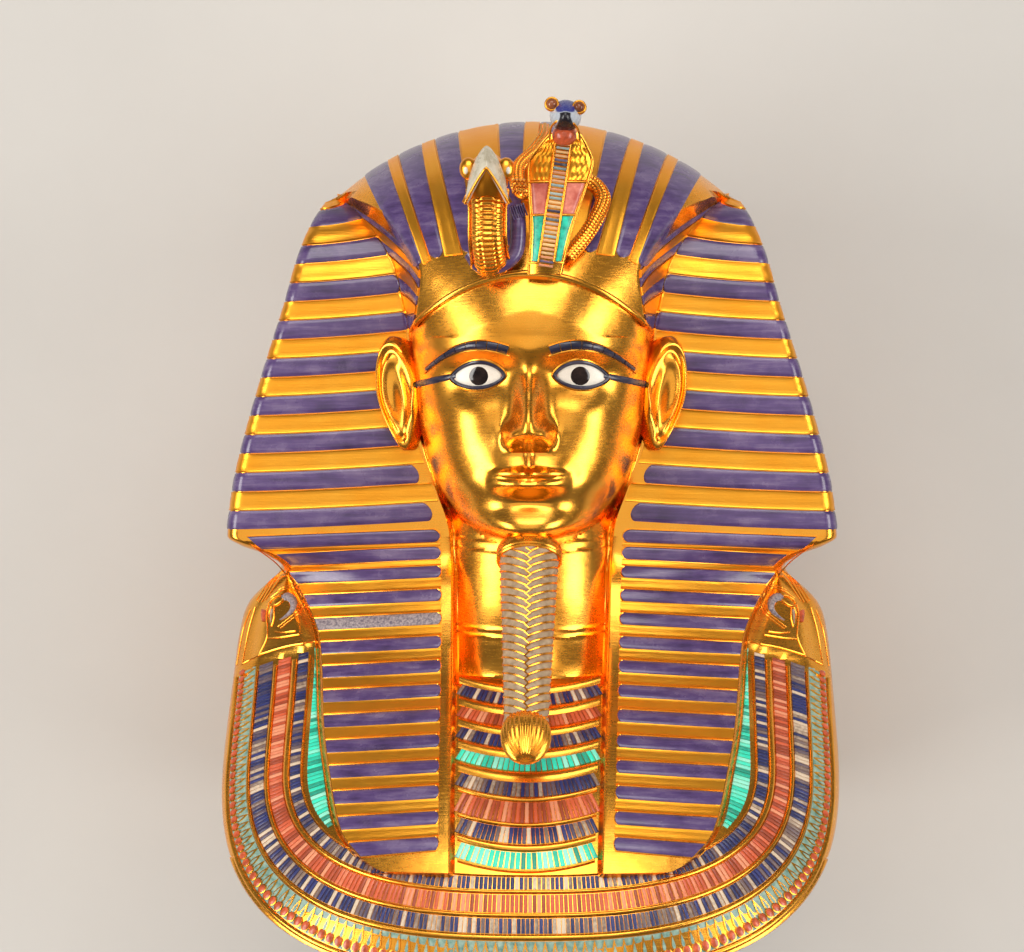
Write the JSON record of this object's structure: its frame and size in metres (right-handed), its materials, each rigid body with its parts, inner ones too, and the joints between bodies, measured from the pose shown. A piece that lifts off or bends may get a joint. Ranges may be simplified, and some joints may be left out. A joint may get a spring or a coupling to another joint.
{
  "type": "royal egyptian funerary mask",
  "caption": "Hollow gold funerary mask lying face up, with a striped headcloth, cobra and vulture on the brow, plaited beard and beaded collar.",
  "frame": {"origin": "centre of the bounding box, on the surface that the mask lies on", "axes": "+Y from the collar to the crown, +Z out of the face, +X to the viewer's right as seen facing the mask"},
  "size_m": [0.3928, 0.541, 0.4788],
  "materials": {
    "gold": "burnished gold sheet",
    "lapis": "polished dark blue stone and glass",
    "carnelian": "opaque red-orange glass",
    "turquoise": "opaque turquoise glass",
    "border": "opaque glass in gold cells",
    "quartz": "polished white stone",
    "obsidian": "polished black stone",
    "faience": "worn grey-blue faience in gold cells",
    "horn": "pale horn-coloured stone",
    "stripe": "muted purple-blue opaque glass"
  },
  "bodies": {
    "root": {"mask_shell": "gold", "beard_cap": "gold", "beard": "faience", "cobra_hood": "gold", "cobra_head": "lapis", "cobra_coil": "gold", "vulture_head": "gold", "vulture_beak": "horn", "eye_left": "quartz", "pupil_left": "obsidian", "eyeliner_left": "lapis", "brow_left": "lapis", "eye_right": "quartz", "pupil_right": "obsidian", "eyeliner_right": "lapis", "brow_right": "lapis", "throat_row_1": "lapis", "throat_row_2": "carnelian", "throat_row_3": "lapis", "throat_row_4": "turquoise", "throat_row_5": "lapis", "throat_row_6": "carnelian", "throat_row_7": "lapis", "throat_row_8": "turquoise", "collar_row_1": "lapis", "collar_row_2": "carnelian", "collar_row_3": "lapis", "collar_row_4": "border", "collar_band_left": "turquoise", "collar_band_right": "turquoise"}
  },
  "joints": []
}
